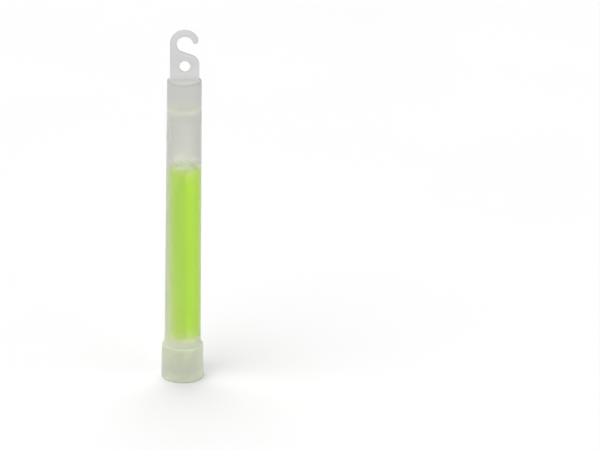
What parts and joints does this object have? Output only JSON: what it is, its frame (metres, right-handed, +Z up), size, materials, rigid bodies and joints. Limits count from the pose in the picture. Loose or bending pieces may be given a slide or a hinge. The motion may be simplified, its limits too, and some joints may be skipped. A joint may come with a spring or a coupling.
{
  "type": "chemical light stick",
  "caption": "Chemical light stick: tapered translucent tube with a flat open hook and cord hole, a wide end cap, and a glass ampoule in a yellow-green dye solution.",
  "frame": {"origin": "centre of the end cap's underside, where the stick stands", "axes": "+Z up the tube's axis to the hook; the flat hook lies in the XZ plane with its mouth towards +X"},
  "size_m": [0.0182, 0.0182, 0.1524],
  "materials": {
    "tube_plastic": "satin",
    "cap_plastic": "satin",
    "stopper_plastic": "satin",
    "ampoule_glass": "polished",
    "activator": "gloss",
    "dye_solution": "gloss"
  },
  "bodies": {
    "stick": {"light_tube": "tube_plastic", "end_cap": "cap_plastic", "inner_stopper": "stopper_plastic", "dye_liquid": "dye_solution"},
    "ampoule": {"glass_ampoule": "ampoule_glass", "ampoule_tip": "ampoule_glass", "activator_liquid": "activator"}
  },
  "joints": [
    {"name": "ampoule_slide", "type": "slide", "parent": "stick", "child": "ampoule", "axis": [0, 0, 1], "range_m": [0, 0.002]}
  ]
}
